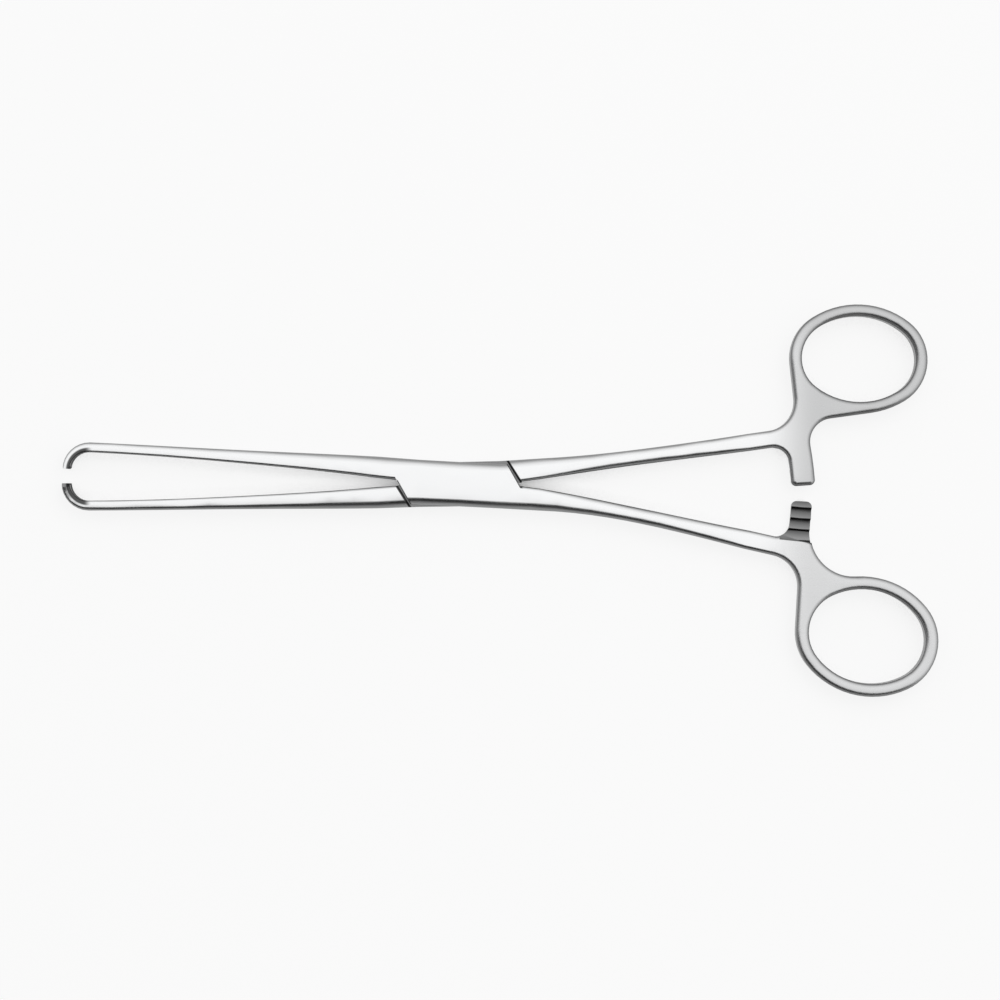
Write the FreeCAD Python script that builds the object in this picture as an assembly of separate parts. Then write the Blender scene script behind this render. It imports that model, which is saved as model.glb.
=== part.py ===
"""Tonsil holding forceps, 20 cm, with a box lock and a finger-ring ratchet.

Three pieces: the box half, the male half that passes through it, and the pin
that holds them. Each half is drawn closed, with the mid-line along X, the
pivot at the origin and its own jaw above its own shank. The male half is then
mirrored, and both are turned to the slightly open pose of rest. Rounded
edges are shallow, as if ground, and are made of three narrow flats, which
keeps the meshes light. Millimetres and degrees, with +Z up and the underside
of the lock on Z = 0.
"""
import FreeCAD
import Part
import math
import os
from FreeCAD import Vector

# Pose at rest: the angle between the halves, counted from fully closed
rest_opening = 2.7

# Depth of every rounded edge as a share of its width, seen from above
edge_depth_share = 0.6

# Box lock
box_width = 10.1
box_thickness = 5.6
box_edge_width = 2.2
lock_half_length = 18.5
cheek_thickness = 1.5
cheek_reach = 11.85
cheek_slant = 32.0
jaw_shoulder_gap = 0.3
shank_shoulder_gap = 0.5
tang_half_width = 2.75
tang_slant = 12.5
waist_radius = 6.4
slot_side_gap = 0.05
slot_end_gap = 0.1
inner_edge_width = 0.9

# Pin, riveted flush in the cheeks and free in the tang
pin_diameter = 3.0
pin_running_gap = 0.04

# Jaws
jaw_length = 89.45
jaw_crotch_offset = 0.35
jaw_root_width = 4.85
jaw_root_offset = 3.02
jaw_root_angle = 3.0
jaw_middle_x = 45.0
jaw_middle_offset = 3.93
jaw_end_width = 2.25
jaw_end_thickness = 4.0
jaw_end_inner_edge = 0.6
jaw_end_outer_edge = 1.0

# Hooked tips with interlocking teeth
hook_radius = 5.1
tip_breadth = 5.4
tip_edge_width = 0.45
box_tip_width = 1.4
male_tip_width = 1.75
tip_tooth_count = 3
tip_tooth_height = 0.9
tip_tooth_gap = 0.1
cup_depth = 0.45
cup_shift = 1.5
cup_direction = 148.0

# Shanks: centre line offsets and widths at the lock, the waist and the neck
shank_waist_x = 41.4
shank_neck_x = 66.0
shank_waist_edge = 1.5
box_shank_crotch_offset = -0.2
box_shank_root_offset = 2.7
box_shank_root_width = 5.0
box_shank_root_angle = 3.5
box_shank_waist_offset = 5.37
box_shank_waist_width = 3.42
box_shank_neck_offset = 9.72
box_shank_neck_width = 4.3
box_shank_angle = 10.2
male_shank_crotch_offset = 0.6
male_shank_root_offset = 3.45
male_shank_root_width = 4.7
male_shank_root_angle = 5.7
male_shank_waist_offset = 6.12
male_shank_waist_width = 3.47
male_shank_neck_offset = 9.34
male_shank_neck_width = 3.9
male_shank_angle = 8.0

# Finger rings and the webs that carry them
handle_thickness = 4.8
handle_edge_width = 1.2
box_ring_setback = 28.32
box_ring_centre_offset = 30.53
box_bore_length = 26.8
box_bore_width = 21.3
box_bore_end_radius = 9.2
box_ring_wall = 2.9
box_ring_tilt = -10.8
box_neck_lean = -0.7
box_neck_fillet = 7.25
box_web_angle = 95.7
box_web_fillet = 10.0
male_ring_setback = 25.05
male_ring_centre_offset = 28.25
male_bore_length = 26.0
male_bore_width = 19.55
male_bore_end_radius = 8.3
male_ring_wall = 2.62
male_ring_tilt = 3.1
male_neck_lean = -6.2
male_neck_fillet = 6.7
male_web_angle = 82.3
male_web_fillet = 5.3

# Ratchet arms, curved about a point near the pivot, and their saw teeth
box_arm_setback = 9.95
box_arm_width = 4.65
box_arm_fillet = 3.1
box_arm_bow_offset = 0.0
box_arm_end_offset = 0.4
male_arm_setback = 9.8
male_arm_width = 5.4
male_arm_fillet = 3.7
male_arm_bow_offset = 5.5
male_arm_end_offset = -0.7
arm_corner_radius = 1.2
arm_step_offset = 9.6
arm_clearance = 0.1
ratchet_tooth_count = 3
ratchet_pitch = 2.5
ratchet_first_crest = 1.35
ratchet_tooth_depth = 0.9
ratchet_steep_run = 0.45

# Derived values
box_half_width = box_width / 2
slot_half_height = box_thickness / 2 - cheek_thickness
tang_half_height = slot_half_height - slot_side_gap
pin_radius = pin_diameter / 2
hook_start_x = jaw_length - hook_radius
tip_reach = tip_tooth_height / 2
hook_start_offset = hook_radius - tip_reach
jaw_root_outer = jaw_root_offset + jaw_root_width / 2
jaw_root_inner = jaw_root_offset - jaw_root_width / 2
tip_tooth_pitch = tip_breadth / tip_tooth_count
hook_centre = Vector(-hook_start_x, -tip_reach, 0)
clear_of_all = 2 * jaw_length
bar_stations = 13
hook_stations = 9
flat_turn = 22.5
hair = 1e-4


def polar(radius, angle):
    """A point at a radius and an angle in degrees from the pivot."""
    a = math.radians(angle)
    return Vector(radius * math.cos(a), radius * math.sin(a), 0)


def waisted(first, waist, last, at_waist, t):
    """A value that falls or rises to that at the waist, where it is level, then to the last."""
    if t < at_waist:
        return waist + (first - waist) * (1 - t / at_waist) ** 2
    return waist + (last - waist) * ((t - at_waist) / (1 - at_waist)) ** 2


def prism(points, low, high):
    """An upright prism over a closed polygon."""
    corners = [Vector(p.x, p.y, low) for p in points]
    face = Part.Face(Part.makePolygon(corners + [corners[0]]))
    return face.extrude(Vector(0, 0, high - low))


def half_plane(angle, distance, low, high):
    """All that lies farther than distance from the pivot in a direction."""
    out, along = polar(1, angle), polar(1, angle + 90)
    foot = out * distance
    far = out * (distance + clear_of_all)
    side = along * clear_of_all
    return prism([foot - side, far - side, far + side, foot + side], low, high)


def edge_steps(width):
    """The corners of a rounded edge's flats: how far in from the side and how far down from the top."""
    reach = width / math.cos(math.radians(flat_turn / 2))
    steps = [polar(reach, flat_turn * (i + 0.5)) for i in range(4)]
    return [(width - step.x, edge_depth_share * (width - step.y)) for step in steps]


def section(centre, tangent, width, thickness, inner_edge, outer_edge):
    """A bar's section square to its path, its inner side to the left of travel."""
    left = Vector(-tangent.y, tangent.x, 0)
    points = []
    for side, level, edge in ((1, 1, inner_edge), (-1, 1, outer_edge),
                              (-1, -1, outer_edge), (1, -1, inner_edge)):
        steps = edge_steps(edge)
        if side != level:
            steps.reverse()
        for inset, down in steps:
            across, up = side * (width / 2 - inset), level * (thickness / 2 - down)
            points.append(centre + left * across + Vector(0, 0, up))
    return Part.makePolygon(points + [points[0]])


def spline_path(points, start_tangent, end_tangent):
    """A smooth centre line through its points, with both ends' directions."""
    curve = Part.BSplineCurve()
    curve.interpolate(Points=points, InitialTangent=start_tangent, FinalTangent=end_tangent)
    return curve


def stations(curve, count, side):
    """Evenly spaced places along a bar's path from the lock: fraction, point and direction."""
    first, last = curve.FirstParameter, curve.LastParameter
    yield 0, curve.value(first), Vector(side, 0, 0)
    for i in range(1, count):
        t = i / (count - 1)
        u = first + (last - first) * t
        yield t, curve.value(u), curve.tangent(u)[0]


def loft(wires):
    """A solid skinned straight from each section to the next."""
    return Part.makeLoft(wires, True, True)


def jaw(tip_width):
    """The tapering bar from the lock and its hooked, broadened tip."""
    bar = spline_path(
        [
            Vector(-lock_half_length, jaw_root_offset, 0),
            Vector(-jaw_middle_x, jaw_middle_offset, 0),
            Vector(-hook_start_x, hook_start_offset, 0),
        ],
        polar(1, 180 - jaw_root_angle),
        polar(1, 180),
    )
    wires = []
    for t, point, tangent in stations(bar, bar_stations, -1):
        left = (1 - t) ** 2
        wires.append(section(
            point, tangent,
            jaw_end_width + (jaw_root_width - jaw_end_width) * left,
            jaw_end_thickness + (box_thickness - jaw_end_thickness) * left,
            jaw_end_inner_edge + (inner_edge_width - jaw_end_inner_edge) * left,
            jaw_end_outer_edge + (box_edge_width - jaw_end_outer_edge) * left,
        ))
    hook_wires = [wires[-1]]
    for i in range(1, hook_stations):
        t = i / (hook_stations - 1)
        direction = polar(1, 90 + 90 * t)
        hook_wires.append(section(
            hook_centre + direction * hook_radius,
            Vector(-direction.y, direction.x, 0),
            jaw_end_width + (tip_width - jaw_end_width) * t,
            jaw_end_thickness + (tip_breadth - jaw_end_thickness) * t ** 2,
            jaw_end_inner_edge + (tip_edge_width - jaw_end_inner_edge) * t,
            jaw_end_outer_edge + (tip_edge_width - jaw_end_outer_edge) * t,
        ))
    return loft(wires).fuse(loft(hook_wires).cut(tip_cup(tip_width)))


def tip_cup(tip_width):
    """The shallow ball-milled hollow in the hook's inner face."""
    inner_face = hook_radius - (jaw_end_width + tip_width) / 4
    centre = hook_centre + polar(cup_shift, cup_direction)
    return Part.makeSphere(inner_face + cup_depth - cup_shift, centre)


def tip_teeth_cutter(shifted):
    """The zigzag gap that parts one tip from the other, seen along the jaw."""
    crest, root = -tip_reach, tip_reach + tip_tooth_gap
    low_end = -(tip_tooth_count + 1) * tip_tooth_pitch / 2
    zigzag = []
    for i in range(2 * tip_tooth_count + 3):
        level = crest if (i % 2 == 0) == shifted else root
        zigzag.append(Vector(0, level, low_end + i * tip_tooth_pitch / 2))
    below = -2 * hook_radius
    zigzag += [Vector(0, below, zigzag[-1].z), Vector(0, below, low_end)]
    face = Part.Face(Part.makePolygon(zigzag + [zigzag[0]]))
    face.translate(Vector(-jaw_length - hook_radius, 0, 0))
    return face.extrude(Vector(2 * hook_radius, 0, 0))


def shank(root_offset, root_width, root_angle, waist_offset, waist_width,
          neck_offset, neck_width, neck_angle):
    """The waisted bar from the lock to the neck of the finger ring."""
    path = spline_path(
        [
            Vector(lock_half_length, -root_offset, 0),
            Vector(shank_waist_x, -waist_offset, 0),
            Vector(shank_neck_x, -neck_offset, 0),
        ],
        polar(1, -root_angle),
        polar(1, -neck_angle),
    )
    at_waist = (shank_waist_x - lock_half_length) / (shank_neck_x - lock_half_length)
    wires = []
    for t, point, tangent in stations(path, bar_stations, 1):
        width = waisted(root_width, waist_width, neck_width, at_waist, t)
        thickness = box_thickness + (handle_thickness - box_thickness) * t
        inner = waisted(inner_edge_width, shank_waist_edge, handle_edge_width, at_waist, t)
        outer = waisted(box_edge_width, shank_waist_edge, handle_edge_width, at_waist, t)
        wires.append(section(point, tangent, width, thickness, inner, outer))
    return loft(wires)


def lock_blank(shank_root_outer):
    """The thick bar through the lock, before the halves are cut to pass."""
    wires = []
    for i in range(-2, 3):
        t = i / 2
        top = box_half_width + max(0, -t) ** 2 * (jaw_root_outer - box_half_width)
        bottom = box_half_width + max(0, t) ** 2 * (shank_root_outer - box_half_width)
        wires.append(section(
            Vector(t * lock_half_length, (top - bottom) / 2, 0), Vector(1, 0, 0),
            top + bottom, box_thickness, box_edge_width, box_edge_width,
        ))
    return loft(wires)


def root_block(side, inner_offset, crotch_offset, crotch_x):
    """Keeps the root of a jaw (side -1) or shank (side 1), with its rounded inner edges."""
    along = Vector(side, 0, 0)
    slope = (inner_offset - crotch_offset) / (lock_half_length - crotch_x)
    wires = []
    for x in (lock_half_length, crotch_x - box_half_width):
        offset = inner_offset - slope * (lock_half_length - x)
        centre = Vector(side * x, -side * (offset + box_width), 0)
        wires.append(section(centre, along, 2 * box_width, box_thickness,
                             inner_edge_width, inner_edge_width))
    return loft(wires)


def slot_space(edge_distance, radius, half_height):
    """The room between the slot's end walls: a turned waist with two open lobes."""
    reach = box_width * 2
    space = prism([Vector(-reach, -reach, 0), Vector(reach, -reach, 0),
                   Vector(reach, reach, 0), Vector(-reach, reach, 0)], -half_height, half_height)
    for turn in (0, 180):
        out, along = polar(1, 90 + tang_slant + turn), polar(1, 180 + tang_slant + turn)
        foot = out * edge_distance
        wall = prism([foot, foot + along * 2 * reach,
                      foot + (along + out) * 2 * reach, foot + out * 2 * reach],
                     -half_height, half_height)
        space = space.cut(wall)
    waist = Part.makeCylinder(radius, 2 * half_height, Vector(0, 0, -half_height))
    return space.fuse(waist)


def between_ends(slant, jaw_reach, shank_reach):
    """The part of the lock between its two slanting end planes."""
    high = box_thickness
    reach = lock_half_length * 2
    room = prism([Vector(-reach, -reach, 0), Vector(reach, -reach, 0),
                  Vector(reach, reach, 0), Vector(-reach, reach, 0)], -high, high)
    room = room.cut(half_plane(180 + slant, jaw_reach, -high, high))
    return room.cut(half_plane(slant, shank_reach, -high, high))


def cut_lock(blank, slant, jaw_reach, shank_reach, shank_inner, shank_crotch, middle):
    """A blank cut to its own jaw root, its own shank root and the middle between them."""
    high = box_thickness
    lean = math.cos(math.radians(slant))
    jaw_root = root_block(-1, jaw_root_inner, jaw_crotch_offset, jaw_reach / lean)
    jaw_root = jaw_root.common(half_plane(180 + slant, jaw_reach, -high, high))
    shank_root = root_block(1, shank_inner, shank_crotch, shank_reach / lean)
    shank_root = shank_root.common(half_plane(slant, shank_reach, -high, high))
    room = between_ends(slant, jaw_reach, shank_reach).common(middle)
    return blank.common(jaw_root).fuse([blank.common(shank_root), blank.common(room)])


class Bend:
    """An arc of a plate's outline, from one direction to another about its centre."""

    def __init__(self, centre, radius, start, end, hollow=False):
        self.centre, self.radius, self.start, self.end = centre, radius, start, end
        self.hollow = hollow

    def point(self, angle, inset):
        """A point of the arc, once the whole outline has drawn in by inset."""
        radius = self.radius + inset if self.hollow else self.radius - inset
        return self.centre + polar(radius, angle)

    def edge(self, inset):
        angles = (self.start, (self.start + self.end) / 2, self.end)
        return Part.Arc(*[self.point(a, inset) for a in angles]).toShape()


def outline(bends, inset, level):
    """A closed wire of bends and the straight runs between them."""
    edges = []
    for bend, following in zip(bends, bends[1:] + bends[:1]):
        edges.append(bend.edge(inset))
        here, there = bend.point(bend.end, inset), following.point(following.start, inset)
        if here.distanceToPoint(there) > hair:
            edges.append(Part.makeLine(here, there))
    wire = Part.Wire(edges)
    wire.translate(Vector(0, 0, level))
    return wire


def plate(bends, widen):
    """A plate across Z = 0 with rounded edges; widen is 1, or -1 for a hole through one."""
    half = handle_thickness / 2
    levels = [(half - down, widen * inset) for inset, down in edge_steps(handle_edge_width)]
    levels = [(-z, inset) for z, inset in reversed(levels)] + levels
    return loft([outline(bends, inset, z) for z, inset in levels])


def oval(centre, length, width, end_radius, tilt):
    """A finger ring's bore as four tangent arcs, two at its ends and two along its sides."""
    end_shift = length / 2 - end_radius
    squat = width / 2 - end_radius
    side_shift = (end_shift ** 2 - squat ** 2) / (2 * squat)
    side_radius = width / 2 + side_shift
    change = math.degrees(math.atan2(side_shift, end_shift))
    major, minor = polar(1, tilt), polar(1, tilt + 90)
    return [
        Bend(centre + major * end_shift, end_radius, tilt - change, tilt + change),
        Bend(centre - minor * side_shift, side_radius, tilt + change, tilt + 180 - change),
        Bend(centre - major * end_shift, end_radius, tilt + 180 - change, tilt + 180 + change),
        Bend(centre + minor * side_shift, side_radius, tilt + 180 + change, tilt + 360 - change),
    ]


def grown(bends, wall):
    """The same outline, a wall's width farther out."""
    return [Bend(b.centre, b.radius + wall, b.start, b.end) for b in bends]


def facing(bends, angle):
    """The point of a round outline whose outward direction is this angle."""
    for bend in bends:
        turned = bend.start + (angle - bend.start) % 360
        if turned <= bend.end:
            return bend.point(turned, 0)


def stretch(bends, start, end):
    """The arcs of a round outline from one outward direction round to a later one."""
    out = []
    for turn in (0, 360):
        for b in bends:
            low, high = max(start, b.start + turn), min(end, b.end + turn)
            if high - low > hair:
                out.append(Bend(b.centre, b.radius, low, high))
    return out


def meeting_point(p, u, q, v):
    """Where the line through p along u meets the line through q along v."""
    return p + u * ((q - p).cross(v).z / u.cross(v).z)


def crossing(start, along, centre, radius, first):
    """Where a line enters a circle (first) or leaves it."""
    ahead = (centre - start).dot(along)
    half_chord = math.sqrt(radius ** 2 + ahead ** 2 - (centre - start).Length ** 2)
    return start + along * (ahead - half_chord if first else ahead + half_chord)


class Arm:
    """A ratchet arm, between two circles about a point that may be off the mid-line."""

    def __init__(self, setback, width, fillet, bow_offset, end_offset):
        self.centre = Vector(0, bow_offset, 0)
        self.inner = shank_neck_x + setback
        self.outer = self.inner + width
        self.middle = self.inner + width / 2
        self.fillet = fillet
        self.end_offset = end_offset
        self.end = self.bearing(Vector(self.inner, -end_offset, 0))

    def bearing(self, point):
        """The direction, in degrees, in which the arm's centre sees a point."""
        return math.degrees(math.atan2(point.y - self.centre.y, point.x - self.centre.x))

    def bends(self, web_bearing, fillet_bearing):
        """Up the outer side, round the free end and down to the fillet with the neck."""
        outer_reach = self.outer - arm_corner_radius
        inner_reach = self.inner + arm_corner_radius
        outer_turn = self.end - math.degrees(math.asin(arm_corner_radius / outer_reach))
        inner_turn = self.end - math.degrees(math.asin(arm_corner_radius / inner_reach))
        outer_corner = self.centre + polar(outer_reach, outer_turn)
        inner_corner = self.centre + polar(inner_reach, inner_turn)
        return [
            Bend(self.centre, self.outer, web_bearing, outer_turn),
            Bend(outer_corner, arm_corner_radius, outer_turn, self.end + 90),
            Bend(inner_corner, arm_corner_radius, self.end + 90, inner_turn + 180),
            Bend(self.centre, self.inner, inner_turn, fillet_bearing, hollow=True),
        ]


def handle_bends(neck, neck_width, angle, ring, lean, neck_fillet, web, web_fillet, arm):
    """The outline of neck, finger ring and ratchet arm, counter-clockwise."""
    along, left = polar(1, -angle), polar(1, 90 - angle)
    half = neck_width / 2

    # The neck's outer side turns by a fillet into a line that touches the ring
    side = 180 + lean
    touch = facing(ring, side)
    corner = meeting_point(neck - left * (half + neck_fillet), along,
                           touch + polar(neck_fillet, side), polar(1, side + 90))
    bends = [Bend(corner, neck_fillet, 90 - angle, lean, hollow=True)]

    # Round the ring to the line of the web, which a fillet turns up into the arm
    bends += stretch(ring, side, web + 360)
    web_centre = crossing(facing(ring, web) + polar(web_fillet, web), polar(1, web + 90),
                          arm.centre, arm.outer + web_fillet, True)
    web_bearing = arm.bearing(web_centre)
    bends.append(Bend(web_centre, web_fillet, web + 180, web_bearing + 180, hollow=True))

    # The arm and its fillet with the neck
    fillet_centre = crossing(neck + left * (half + arm.fillet), along,
                             arm.centre, arm.inner - arm.fillet, False)
    fillet_bearing = arm.bearing(fillet_centre)
    bends += arm.bends(web_bearing, fillet_bearing)
    bends.append(Bend(fillet_centre, arm.fillet, fillet_bearing, -90 - angle, hollow=True))

    # The neck's heel, which is cut off square at the shank
    heel = neck - along * neck_width
    inner_heel = heel + left * (half - handle_edge_width)
    outer_heel = heel - left * (half - handle_edge_width)
    bends.append(Bend(inner_heel, handle_edge_width, 90 - angle, 180 - angle))
    bends.append(Bend(outer_heel, handle_edge_width, 180 - angle, 270 - angle))
    return bends


def handle(neck_offset, neck_width, angle, bore, wall, lean, neck_fillet, web, web_fillet,
           arm, teeth_up):
    """The neck, finger ring and ratchet arm, one plate with rounded edges."""
    neck = Vector(shank_neck_x, -neck_offset, 0)
    bends = handle_bends(neck, neck_width, angle, grown(bore, wall), lean, neck_fillet,
                         web, web_fillet, arm)
    body = plate(bends, 1).cut(plate(bore, -1))
    start = neck.dot(polar(1, -angle))
    body = body.common(half_plane(-angle, start, -handle_thickness, handle_thickness))
    return body.cut(ratchet_cutter(arm, teeth_up))


def ratchet_cutter(arm, teeth_up):
    """What is cut from an arm's meeting side: half its thickness and the saw teeth."""
    up = 1 if teeth_up else -1
    crest = -up * arm_clearance / 2
    root = crest - up * ratchet_tooth_depth
    above = up * handle_thickness
    start = arm_corner_radius - arm.end_offset
    first = -arm.end_offset - ratchet_first_crest
    slope = ratchet_tooth_depth / (ratchet_pitch - ratchet_steep_run)
    lead = crest - up * slope * (start - first)
    profile = [Vector(0, start, above), Vector(0, start, lead)]
    for i in range(ratchet_tooth_count):
        y = first - i * ratchet_pitch
        profile += [Vector(0, y, crest), Vector(0, y - ratchet_steep_run, root)]
    profile += [Vector(0, -arm_step_offset, root), Vector(0, -arm_step_offset, above)]
    face = Part.Face(Part.makePolygon(profile + [profile[0]]))
    reach = arm.outer - arm.inner
    face.translate(Vector(arm.middle - reach, 0, 0))
    solid = face.extrude(Vector(2 * reach, 0, 0))
    middle = Vector(arm.middle, -arm_step_offset / 2, 0)
    solid.rotate(middle, Vector(0, 0, 1), arm.bearing(middle))
    return solid


def box_half():
    """The half whose two cheeks form the box, jaw above and shank below the mid-line."""
    shank_inner = box_shank_root_offset - box_shank_root_width / 2
    shank_outer = box_shank_root_offset + box_shank_root_width / 2
    solid_middle = Part.makeBox(4 * lock_half_length, 4 * lock_half_length, 2 * box_thickness,
                                Vector(-2 * lock_half_length, -2 * lock_half_length, -box_thickness))
    slot = slot_space(tang_half_width + slot_end_gap, waist_radius + slot_end_gap, slot_half_height)
    lock = cut_lock(lock_blank(shank_outer), cheek_slant, cheek_reach, cheek_reach,
                    shank_inner, box_shank_crotch_offset, solid_middle.cut(slot))
    hole = Part.makeCylinder(pin_radius, 2 * box_thickness, Vector(0, 0, -box_thickness))
    bore = oval(Vector(shank_neck_x + box_ring_setback, -box_ring_centre_offset, 0),
                box_bore_length, box_bore_width, box_bore_end_radius, box_ring_tilt)
    arm = Arm(box_arm_setback, box_arm_width, box_arm_fillet, box_arm_bow_offset,
              box_arm_end_offset)
    body = jaw(box_tip_width).cut(tip_teeth_cutter(False))
    return body.fuse([
        lock.cut(hole),
        shank(box_shank_root_offset, box_shank_root_width, box_shank_root_angle,
              box_shank_waist_offset, box_shank_waist_width,
              box_shank_neck_offset, box_shank_neck_width, box_shank_angle),
        handle(box_shank_neck_offset, box_shank_neck_width, box_shank_angle, bore,
               box_ring_wall, box_neck_lean, box_neck_fillet, box_web_angle, box_web_fillet,
               arm, True),
    ])


def male_half():
    """The half whose tang passes through the box, drawn like the other and mirrored."""
    shank_inner = male_shank_root_offset - male_shank_root_width / 2
    shank_outer = male_shank_root_offset + male_shank_root_width / 2
    tang = slot_space(tang_half_width, waist_radius, tang_half_height)
    tang = tang.mirror(Vector(0, 0, 0), Vector(0, 1, 0))
    lock = cut_lock(lock_blank(shank_outer), -cheek_slant,
                    cheek_reach + jaw_shoulder_gap, cheek_reach + shank_shoulder_gap,
                    shank_inner, male_shank_crotch_offset, tang)
    hole = Part.makeCylinder(pin_radius + pin_running_gap, 2 * box_thickness,
                             Vector(0, 0, -box_thickness))
    bore = oval(Vector(shank_neck_x + male_ring_setback, -male_ring_centre_offset, 0),
                male_bore_length, male_bore_width, male_bore_end_radius, male_ring_tilt)
    arm = Arm(male_arm_setback, male_arm_width, male_arm_fillet, male_arm_bow_offset,
              male_arm_end_offset)
    body = jaw(male_tip_width).cut(tip_teeth_cutter(True))
    body = body.fuse([
        lock.cut(hole),
        shank(male_shank_root_offset, male_shank_root_width, male_shank_root_angle,
              male_shank_waist_offset, male_shank_waist_width,
              male_shank_neck_offset, male_shank_neck_width, male_shank_angle),
        handle(male_shank_neck_offset, male_shank_neck_width, male_shank_angle, bore,
               male_ring_wall, male_neck_lean, male_neck_fillet, male_web_angle, male_web_fillet,
               arm, False),
    ])
    return body.mirror(Vector(0, 0, 0), Vector(0, 1, 0))


def lock_pin():
    """The pivot pin, its riveted ends ground flush with the cheeks."""
    return Part.makeCylinder(pin_radius, box_thickness, Vector(0, 0, -box_thickness / 2))


def place(shape, turn):
    """Turns a piece about the pivot and lifts the lock's underside to Z = 0."""
    shape.rotate(Vector(0, 0, 0), Vector(0, 0, 1), turn)
    shape.translate(Vector(0, 0, box_thickness / 2))
    return shape


os.makedirs("parts", exist_ok=True)
pieces = {
    "box_half": place(box_half(), -rest_opening / 2),
    "male_half": place(male_half(), rest_opening / 2),
    "box_lock_pin": place(lock_pin(), -rest_opening / 2),
}
for name, shape in pieces.items():
    box = shape.BoundBox
    print(name, "solids", len(shape.Solids), "valid", shape.isValid(),
          "volume %.1f" % shape.Volume,
          "X %.2f to %.2f Y %.2f to %.2f Z %.2f to %.2f" % (
              box.XMin, box.XMax, box.YMin, box.YMax, box.ZMin, box.ZMax))
    shape.exportStep("parts/%s.step" % name)
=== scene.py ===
# %% [markdown]
# # Tonsil holding forceps
# Two steel halves pass through each other in a box lock and turn on a pin.
# The CAD model gives every shape here, so this scene only has to finish the
# steel, set the studio and place the camera. The frame is loaded first.

# %% Load the frame
import bpy
import bmesh
import math
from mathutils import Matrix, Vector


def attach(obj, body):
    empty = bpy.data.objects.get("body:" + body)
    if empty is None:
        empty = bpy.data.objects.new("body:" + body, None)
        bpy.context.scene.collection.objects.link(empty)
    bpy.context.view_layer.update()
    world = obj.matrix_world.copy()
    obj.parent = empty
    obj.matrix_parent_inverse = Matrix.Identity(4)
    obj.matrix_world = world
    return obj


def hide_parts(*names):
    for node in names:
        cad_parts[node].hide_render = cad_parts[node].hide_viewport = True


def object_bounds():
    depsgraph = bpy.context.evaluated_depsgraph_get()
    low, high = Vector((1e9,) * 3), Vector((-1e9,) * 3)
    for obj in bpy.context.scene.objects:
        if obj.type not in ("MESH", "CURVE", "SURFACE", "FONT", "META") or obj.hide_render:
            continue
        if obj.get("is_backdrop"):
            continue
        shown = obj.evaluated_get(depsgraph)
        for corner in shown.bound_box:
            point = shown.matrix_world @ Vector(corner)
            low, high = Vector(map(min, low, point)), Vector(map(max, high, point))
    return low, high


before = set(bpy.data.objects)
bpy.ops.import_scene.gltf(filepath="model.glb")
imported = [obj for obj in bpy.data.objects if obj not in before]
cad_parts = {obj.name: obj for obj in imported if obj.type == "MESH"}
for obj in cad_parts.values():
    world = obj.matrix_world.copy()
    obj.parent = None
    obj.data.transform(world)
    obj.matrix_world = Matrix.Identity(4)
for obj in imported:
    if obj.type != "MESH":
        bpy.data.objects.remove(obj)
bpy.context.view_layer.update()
mm = 0.001
print("pieces in the frame:", sorted(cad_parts))


# %% [markdown]
# ## Writing shader maths as expressions
# A brushed finish is a sum of a few noises, and a chain of Math nodes is hard
# to read. A small class wraps a socket instead, so that `1 - streaks * 0.2`
# adds the nodes that it names. A second class adds every other node through
# one method, which sets a node's choices first and then its sockets.

# %% A socket that can be added, subtracted and multiplied
class Value:
    def __init__(self, tree, socket):
        self.tree, self.socket = tree, socket

    def maths(self, operation, *terms):
        node = self.tree.nodes.new("ShaderNodeMath")
        node.operation = operation
        for place, term in zip(node.inputs, terms):
            if isinstance(term, Value):
                self.tree.links.new(term.socket, place)
            else:
                place.default_value = term
        return Value(self.tree, node.outputs[0])

    def __add__(self, other): return self.maths("ADD", self, other)
    def __radd__(self, other): return self.maths("ADD", other, self)
    def __sub__(self, other): return self.maths("SUBTRACT", self, other)
    def __rsub__(self, other): return self.maths("SUBTRACT", other, self)
    def __mul__(self, other): return self.maths("MULTIPLY", self, other)
    def __rmul__(self, other): return self.maths("MULTIPLY", other, self)
    def __mod__(self, other): return self.maths("FLOORED_MODULO", self, other)
    def __abs__(self): return self.maths("ABSOLUTE", self)


# %% A node tree with one way to add any node
class Nodes:
    def __init__(self, tree):
        self.tree = tree

    def add(self, kind, settings=None, sockets=None, output=0):
        node = self.tree.nodes.new(kind)
        for name, value in (settings or {}).items():
            if name == "stops":
                stops = node.color_ramp.elements
                while len(stops) < len(value):
                    stops.new(0.5)
                for stop, (position, shade) in zip(stops, value):
                    stop.position, stop.color = position, (shade, shade, shade, 1)
            else:
                setattr(node, name, value)
        for name, value in (sockets or {}).items():
            if isinstance(value, Value):
                self.tree.links.new(value.socket, node.inputs[name])
            else:
                node.inputs[name].default_value = value
        return Value(self.tree, node.outputs[output])

    def mask(self, value, nothing, full):
        """0 where the value is at nothing, 1 where it is at full, soft between."""
        step = self.add("ShaderNodeMapRange", {"interpolation_type": "SMOOTHSTEP"},
                        {"Value": value, "From Min": min(nothing, full),
                         "From Max": max(nothing, full)})
        return step if nothing < full else 1 - step

    def parts(self, vector):
        """The three numbers of a vector."""
        node = self.add("ShaderNodeSeparateXYZ", sockets={"Vector": vector}).socket.node
        return [Value(self.tree, socket) for socket in node.outputs]


# %% [markdown]
# ## Where each half is drawn
# Both halves have the same plan: a jaw above the middle line and a shank
# below it. One of them is then mirrored, and each is turned about the pin
# by half of the rest opening. A Mapping node undoes that, so one set of
# numbers places a mark on both halves. It starts from Object coordinates,
# which stay with the half when it moves.

# %% Coordinates in a half's own plan
rest_opening = math.radians(2.7)
mid_height = 2.8 * mm


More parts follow.
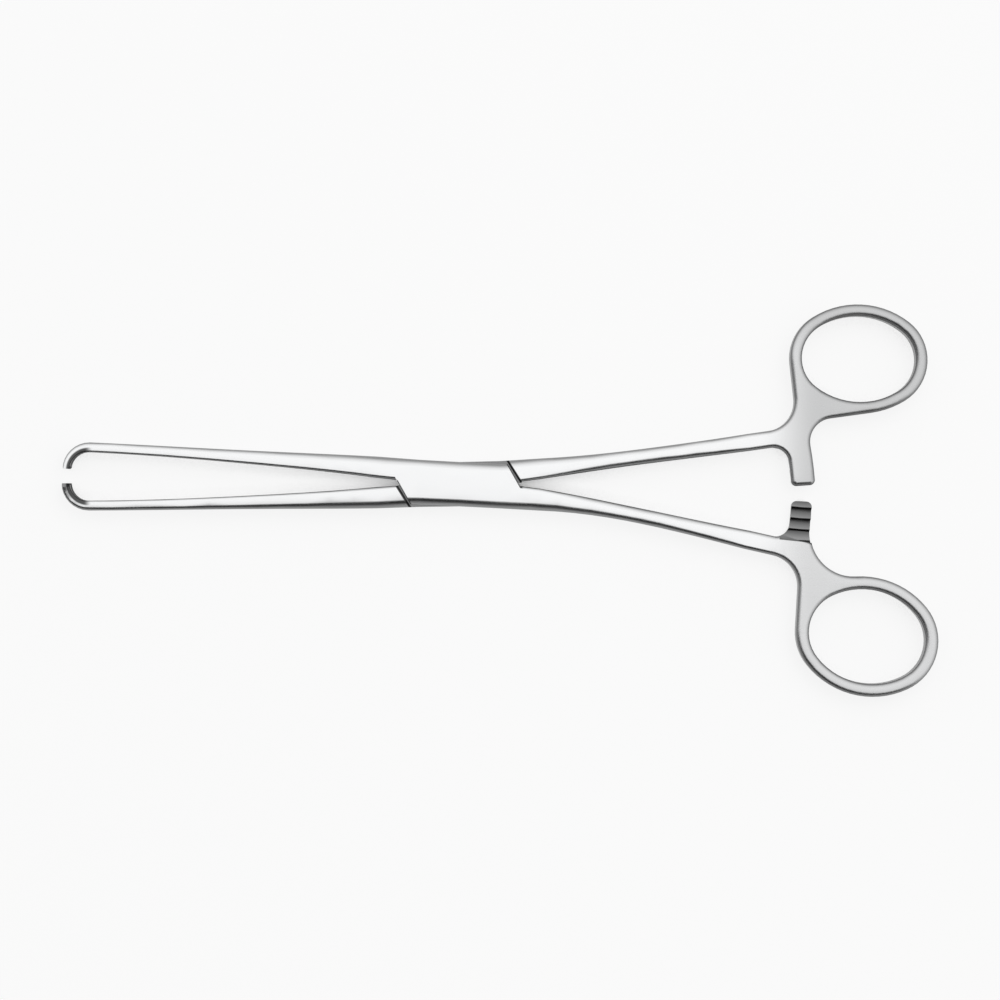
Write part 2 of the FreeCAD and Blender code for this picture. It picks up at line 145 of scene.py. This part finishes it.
def plan(nodes, flip):
    place = nodes.add("ShaderNodeTexCoord", output="Object")
    level = nodes.add("ShaderNodeMapping", sockets={
        "Vector": place, "Scale": (1, flip, 1), "Rotation": (0, 0, rest_opening / 2),
        "Location": (0, 0, -mid_height)})
    return place, level


# %% [markdown]
# ## Where the steel stays dark
# Shade is painted into the colour of the steel here. Side walls that lean
# away from straight up are painted a duller grey, and four places are
# painted nearly black as shade: the seam where each cheek ends, the faces
# inside the box, the saw teeth of the ratchet and the hollow in each hook.
# Each place becomes a soft mask by distance, and the masks are joined by
# multiplying what they leave bright. The saw teeth also get painted light
# and shade, lighter from each tooth's foot to its crest, with a painted
# shadow line down each steep face.

# %% Masks of the painted shade
cheek_slant = math.radians(32)
seam_distance = {1: 11.92 * mm, -1: 12.22 * mm}
seam_half_width, seam_core = 0.34 * mm, 0.16 * mm
# How far painted shade darkens the seam, the faces inside the box and the hook's hollow.
seam_shade_depth, inside_shade_depth, hollow_shade_depth = 0.93, 0.7, 0.88
slot_roof, below_roof = 1.47 * mm, 1.42 * mm
lock_end = -18.5 * mm
hook_centre = (-84.35 * mm, -0.45 * mm, 0)
hook_radius = 5.1 * mm
hollow_start, hollow_full = -83.6 * mm, -85.4 * mm


# Painted shade along the seam where each cheek ends.
def seam_and_inside(nodes, x, y, z, flat, flip):
    across = abs(x * math.cos(cheek_slant) + y * (flip * math.sin(cheek_slant)))
    seam = nodes.mask(abs(across - seam_distance[flip]), seam_half_width, seam_core)
    seam = seam * nodes.mask(x * y * flip, -6e-6, -2e-6)
    # Painted shade on the flat faces inside the box.
    inside = nodes.mask(abs(z), slot_roof, below_roof) * nodes.mask(flat, 0.2, 0.4)
    inside = inside * nodes.mask(x, lock_end, lock_end + 0.1 * mm)
    return (1 - seam * seam_shade_depth) * (1 - inside * inside_shade_depth)


# Painted shade in the hollow of each hook.
def hollow(nodes, level, x):
    beside = nodes.add("ShaderNodeMapping", sockets={"Vector": level, "Scale": (1, 1, 0)})
    away = nodes.add("ShaderNodeVectorMath", {"operation": "DISTANCE"},
                     {0: beside, 1: hook_centre}, output="Value")
    inner = nodes.mask(away, hook_radius + 0.1 * mm, hook_radius - 0.3 * mm)
    return 1 - inner * nodes.mask(x, hollow_start, hollow_full) * hollow_shade_depth


# %% Painted light and shade of the ratchet's saw teeth, which face up on the box half
tooth_pitch = 2.5 * mm
first_crest = -1.75 * mm
teeth_end = (74.8 * mm, -8.35 * mm)
teeth_end_slope = 0.30
arm_inner_side = 74.0 * mm
# Painted shade at each tooth's foot, a painted highlight towards its crest and a painted
# shadow line on its steep face.
foot_shade, crest_highlight, steep_shadow_depth = 0.11, 0.42, 0.1
steep_middle = 0.09


def saw_teeth(nodes, x, y, upward, bright):
    edge = y - teeth_end[1] + (x - teeth_end[0]) * teeth_end_slope
    teeth_shade_area = nodes.mask(edge, -0.25 * mm, 0.15 * mm)
    teeth_shade_area = teeth_shade_area * nodes.mask(x, arm_inner_side, arm_inner_side + 0.6 * mm)
    teeth_shade_area = teeth_shade_area * nodes.mask(upward, 0.1, 0.3)
    tooth = (first_crest - y) * (1 / tooth_pitch) % 1.0
    steep_face_shadow = nodes.mask(abs(tooth - steep_middle), 0.17, 0.03)
    return bright * (1 - teeth_shade_area) + teeth_shade_area * (
        foot_shade + tooth * crest_highlight - steep_face_shadow * steep_shadow_depth)


# %% All painted shade of a half
# How far painted shade darkens the side walls against the tops.
side_wall_shade = 0.62


def painted_shade(nodes, level, flip):
    x, y, z = nodes.parts(level)
    upward = nodes.parts(nodes.add("ShaderNodeTexCoord", output="Normal"))[2]
    flat = abs(upward)
    bright = seam_and_inside(nodes, x, y, z, flat, flip) * hollow(nodes, level, x)
    if flip == 1:
        bright = saw_teeth(nodes, x, y, upward, bright)
    return bright * (1 - nodes.mask(flat, 0.96, 0.68) * side_wall_shade), x


# %% [markdown]
# ## Steel
# Surgical steel is ground along its length, then brushed to a satin that
# doesn't dazzle. Three things show up close: fine lines along the bars,
# broad soft differences left by the polishing wheel, and a slight waviness
# that makes reflections wander. Noise stretched along X gives the lines and
# plain noise gives the other two. Towards the finger rings the colour is
# painted a light grey, as painted shade in what the flat webs reflect, and
# the steel is made a little rougher there.

# %% The satin steel of the halves
steel_tint = (0.88, 0.885, 0.89, 1)
# Where the painted grey and extra roughness towards the rings start and where they are full.
rings_ramp_start, ring_start = 68 * mm, 82 * mm
base_roughness = 0.2


def satin_steel(name, flip, ring_painted_shade):
    material = bpy.data.materials.new(name)
    material.use_nodes = True
    nodes = Nodes(material.node_tree)
    place, level = plan(nodes, flip)
    along = nodes.add("ShaderNodeMapping", sockets={
        "Vector": place, "Scale": (60, 2600, 2600)})
    lines = nodes.add("ShaderNodeTexNoise", sockets={
        "Vector": along, "Scale": 1.0, "Detail": 3.0})
    wheel = nodes.add("ShaderNodeTexNoise", sockets={
        "Vector": place, "Scale": 90.0, "Detail": 2.0})
    waves = nodes.add("ShaderNodeTexNoise", sockets={
        "Vector": place, "Scale": 260.0, "Detail": 1.0})
    bright, x = painted_shade(nodes, level, flip)
    toward_rings = nodes.mask(x, rings_ramp_start, ring_start)
    # Random tone from the wheel and the lines, painted grey towards the rings, and the
    # painted shade of the dark places.
    shade = (1 + (wheel - 0.5) * 0.08 + (lines - 0.5) * 0.06 - toward_rings * ring_painted_shade) * bright
    grey = nodes.add("ShaderNodeCombineXYZ", sockets={"X": shade, "Y": shade, "Z": shade})
    colour = nodes.add("ShaderNodeMix", {"data_type": "RGBA", "blend_type": "MULTIPLY"},
                       {0: 1.0, 6: steel_tint, 7: grey}, output=2)
    rough = base_roughness + (lines - 0.5) * 0.12 + (wheel - 0.5) * 0.12
    rough = rough + toward_rings * 0.06 + (1 - bright) * 0.2
    bump = nodes.add("ShaderNodeBump", sockets={
        "Height": lines * 0.4 + waves, "Strength": 0.12, "Distance": 0.02 * mm})
    shader = material.node_tree.nodes["Principled BSDF"]
    shader.inputs["Metallic"].default_value = 1.0
    for socket, value in (("Base Color", colour), ("Roughness", rough), ("Normal", bump)):
        material.node_tree.links.new(value.socket, shader.inputs[socket])
    return material


# The last number is how far the steel is painted grey towards the rings.
box_steel = satin_steel("box_half_steel", 1, 0.22)
male_steel = satin_steel("male_half_steel", -1, 0.34)
print("materials:", box_steel.name, male_steel.name)


# %% [markdown]
# ## The halves
# The CAD mesh is loose triangles, one patch per face. A merged copy can be
# shaded smooth across the narrow flats of each rounded edge, while edges
# sharper than the limit, such as the saw teeth, stay crisp. Weighted normals
# keep the broad flats flat, so that only the edges bend what they mirror.

# %% Dress a CAD piece in a merged and smoothed copy
merge_distance = 0.0005 * mm
sliver_length = 0.002 * mm
smooth_limit = math.radians(32)


def dressed(node, name, body, material):
    bpy.ops.object.select_all(action="DESELECT")
    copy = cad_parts[node].copy()
    copy.data = copy.data.copy()
    copy.name = copy.data.name = name
    copy.parent = None
    copy.matrix_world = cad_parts[node].matrix_world.copy()
    bpy.context.scene.collection.objects.link(copy)
    bpy.context.view_layer.objects.active = copy
    copy.select_set(True)
    bpy.ops.object.transform_apply(location=True, rotation=True, scale=True)
    bpy.ops.mesh.customdata_custom_splitnormals_clear()
    mesh = bmesh.new()
    mesh.from_mesh(copy.data)
    bmesh.ops.remove_doubles(mesh, verts=mesh.verts, dist=merge_distance)
    bmesh.ops.dissolve_degenerate(mesh, edges=mesh.edges, dist=sliver_length)
    mesh.to_mesh(copy.data)
    mesh.free()
    bpy.ops.object.shade_smooth_by_angle(angle=smooth_limit)
    weights = copy.modifiers.new("weights", "WEIGHTED_NORMAL")
    weights.keep_sharp = True
    weights.weight = 50
    copy.data.materials.clear()
    copy.data.materials.append(material)
    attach(copy, body)
    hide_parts(node)
    print(name, "faces", len(copy.data.polygons))


for node, name, body, material, slot in (
        ("box_half", "box_half_finished", "box_side", box_steel, "instrument_steel"),
        ("male_half", "male_half_finished", "male_side", male_steel, "instrument_steel"),
        ("box_lock_pin", "lock_pin_finished", "box_side", box_steel, "pin_steel")):
    dressed(node, name, body, material)


# %% [markdown]
# ## Studio
# Polished steel shows what stands round it, so the surroundings draw its
# edges. In the photograph a bright sky straight above makes the flat tops
# white, and a dark card on the near side makes the edges that lean that way
# black bands. Everything else is a soft grey, so that the steel stays light
# from other sides too. Three numbers of a direction are enough for this:
# its height, how far it leans to the near side, and how far it is beside
# the middle of the card. The card is paler at its foot, so that a view from
# the far side doesn't turn the steel black.

# %% World: a bright sky, soft grey sides and one dark card
world = bpy.data.worlds.new("studio")
bpy.context.scene.world = world
world.use_nodes = True
sky = Nodes(world.node_tree)
right, far, height = sky.parts(sky.add("ShaderNodeTexCoord", output="Generated"))
soft = sky.add("ShaderNodeValToRGB", {
    "stops": [(0.0, 0.58), (0.6, 0.72), (0.93, 1.0), (0.98, 1.08)]}, {"Fac": height})
card_turn = math.radians(24)
near = far * -math.cos(card_turn) - right * math.sin(card_turn)
beside = abs(right * math.cos(card_turn) - far * math.sin(card_turn))
card = sky.mask(near - beside * 0.12, 0.08, 0.34) * sky.mask(height, 0.1, 0.4)
paint = sky.add("ShaderNodeValToRGB", {"stops": [(0.4, 0.24), (0.72, 0.02)]}, {"Fac": height})
surroundings = sky.add("ShaderNodeMix", {"data_type": "RGBA"},
                       {0: card, 6: soft, 7: paint}, output=2)
background = world.node_tree.nodes["Background"]
world.node_tree.links.new(surroundings.socket, background.inputs["Color"])
print("world:", world.name)

# %% Lamp: one large soft light from the upper right
bpy.ops.object.light_add(type="AREA", location=(0.3, 0.4, 0.8))
lamp = bpy.context.object
lamp.name = "softbox"
lamp.data.shape = "DISK"
lamp.data.size = 0.8
lamp.data.energy = 2.0
lamp.visible_glossy = False
lamp.rotation_euler = (-lamp.location).to_track_quat("-Z", "Y").to_euler()
print("lamp:", lamp.name, lamp.data.energy, "W")

# %% [markdown]
# ## Floor
# The photograph's ground is white. Paper lit by this sky would be pale grey,
# so most of what the camera sees of it, or sees mirrored in the steel, is
# given as plain white, and the rest is lit paper that keeps the shadow. In
# the narrow seams of the lock the light never reaches the floor. Ambient
# occlusion finds those places, and there the paper stays unlit and dark.

# %% White paper that keeps the object's shadow
floor_size, floor_drop = 8.0, 0.02 * mm
crevice_reach = 0.02
white_share = 0.85

bpy.ops.object.select_all(action="DESELECT")
bpy.ops.mesh.primitive_plane_add(size=floor_size, location=(0, 0, -floor_drop))
floor = bpy.context.object
floor.name = "floor"
paper = bpy.data.materials.new("white_paper")
paper.use_nodes = True
nodes = Nodes(paper.node_tree)
lit = paper.node_tree.nodes["Principled BSDF"]
lit.inputs["Base Color"].default_value = (0.93, 0.93, 0.93, 1)
lit.inputs["Roughness"].default_value = 0.9
rays = [nodes.add("ShaderNodeLightPath", output="Is %s Ray" % kind)
        for kind in ("Camera", "Glossy", "Transmission")]
crevice = nodes.add("ShaderNodeAmbientOcclusion", {"samples": 4},
                    {"Distance": crevice_reach}, output="AO")
white = (rays[0] + rays[1] + rays[2]) * white_share * nodes.mask(crevice, 0.02, 0.07)
glow = nodes.add("ShaderNodeEmission", sockets={"Color": (1, 1, 1, 1), "Strength": 1.0})
paper_mix = nodes.add("ShaderNodeMixShader", sockets={
    0: white, 1: Value(paper.node_tree, lit.outputs[0]), 2: glow})
surface = paper.node_tree.nodes["Material Output"].inputs["Surface"]
paper.node_tree.links.new(paper_mix.socket, surface)
floor.data.materials.append(paper)
floor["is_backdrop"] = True
print("floor:", floor.name)

# %% [markdown]
# ## Camera
# The photograph looks straight down, with the instrument turned a little
# clockwise. A long lens keeps the view nearly parallel.

# %% Camera
picture_width = 227.5 * mm
picture_centre = (9.4 * mm, -3.4 * mm)
top_height = 4.5 * mm
lens, sensor = 120.0, 36.0
camera_roll = math.radians(1.2)
distance = picture_width * lens / sensor
bpy.ops.object.camera_add(location=(*picture_centre, top_height + distance),
                          rotation=(0, 0, camera_roll))
camera = bpy.context.object
camera.data.lens = lens
camera.data.sensor_width = sensor
camera.data.clip_start, camera.data.clip_end = 0.01, 20
bpy.context.scene.camera = camera
bpy.context.scene.view_settings.view_transform = "Standard"

# %% [markdown]
# ## Finish
# The box of the dressed model is printed, in millimetres.

# %% Write the sizes and finish
visual_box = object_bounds()
size = visual_box[1] - visual_box[0]
print("box of the finished model:", [round(length / mm, 2) for length in size], "mm")
